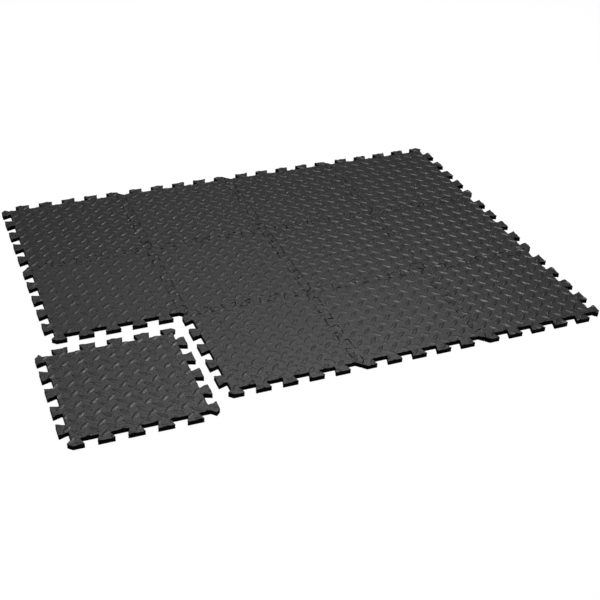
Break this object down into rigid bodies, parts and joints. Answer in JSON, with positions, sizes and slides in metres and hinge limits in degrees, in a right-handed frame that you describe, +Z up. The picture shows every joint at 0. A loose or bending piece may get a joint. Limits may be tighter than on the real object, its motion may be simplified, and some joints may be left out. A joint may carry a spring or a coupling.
{
  "type": "interlocking foam exercise mat",
  "caption": "Exercise mat of square foam tiles with dovetail tabs on all sides and a raised lozenge tread; one corner tile lies loose beside its place.",
  "frame": {"origin": "on the floor, under the middle of the whole layout's box, the loose tile included", "axes": "+X along the long side, from the loose tile's column to the far one; +Y from the front row to the back row; +Z up, out of the tread"},
  "size_m": [1.2792, 0.9866, 0.012],
  "materials": {
    "eva_foam": "matt closed-cell EVA foam, dark grey skin with a pressed lozenge tread, near black cut edges"
  },
  "bodies": {
    "tile_front_1": {"tile_front_1": "eva_foam"},
    "tile_front_2": {"tile_front_2": "eva_foam"},
    "tile_front_3": {"tile_front_3": "eva_foam"},
    "tile_front_4": {"tile_front_4": "eva_foam"},
    "tile_middle_1": {"tile_middle_1": "eva_foam"},
    "tile_middle_2": {"tile_middle_2": "eva_foam"},
    "tile_middle_3": {"tile_middle_3": "eva_foam"},
    "tile_middle_4": {"tile_middle_4": "eva_foam"},
    "tile_back_1": {"tile_back_1": "eva_foam"},
    "tile_back_2": {"tile_back_2": "eva_foam"},
    "tile_back_3": {"tile_back_3": "eva_foam"},
    "tile_back_4": {"tile_back_4": "eva_foam"}
  },
  "joints": [
    {"name": "lift_front_1", "type": "slide", "parent": "tile_middle_2", "child": "tile_front_1", "axis": [0, 0, 1], "range_m": [0, 0.05]},
    {"name": "lift_front_2", "type": "slide", "parent": "tile_middle_2", "child": "tile_front_2", "axis": [0, 0, 1], "range_m": [0, 0.05]},
    {"name": "lift_front_3", "type": "slide", "parent": "tile_middle_2", "child": "tile_front_3", "axis": [0, 0, 1], "range_m": [0, 0.05]},
    {"name": "lift_front_4", "type": "slide", "parent": "tile_middle_2", "child": "tile_front_4", "axis": [0, 0, 1], "range_m": [0, 0.05]},
    {"name": "lift_middle_1", "type": "slide", "parent": "tile_middle_2", "child": "tile_middle_1", "axis": [0, 0, 1], "range_m": [0, 0.05]},
    {"name": "lift_middle_3", "type": "slide", "parent": "tile_middle_2", "child": "tile_middle_3", "axis": [0, 0, 1], "range_m": [0, 0.05]},
    {"name": "lift_middle_4", "type": "slide", "parent": "tile_middle_2", "child": "tile_middle_4", "axis": [0, 0, 1], "range_m": [0, 0.05]},
    {"name": "lift_back_1", "type": "slide", "parent": "tile_middle_2", "child": "tile_back_1", "axis": [0, 0, 1], "range_m": [0, 0.05]},
    {"name": "lift_back_2", "type": "slide", "parent": "tile_middle_2", "child": "tile_back_2", "axis": [0, 0, 1], "range_m": [0, 0.05]},
    {"name": "lift_back_3", "type": "slide", "parent": "tile_middle_2", "child": "tile_back_3", "axis": [0, 0, 1], "range_m": [0, 0.05]},
    {"name": "lift_back_4", "type": "slide", "parent": "tile_middle_2", "child": "tile_back_4", "axis": [0, 0, 1], "range_m": [0, 0.05]}
  ]
}
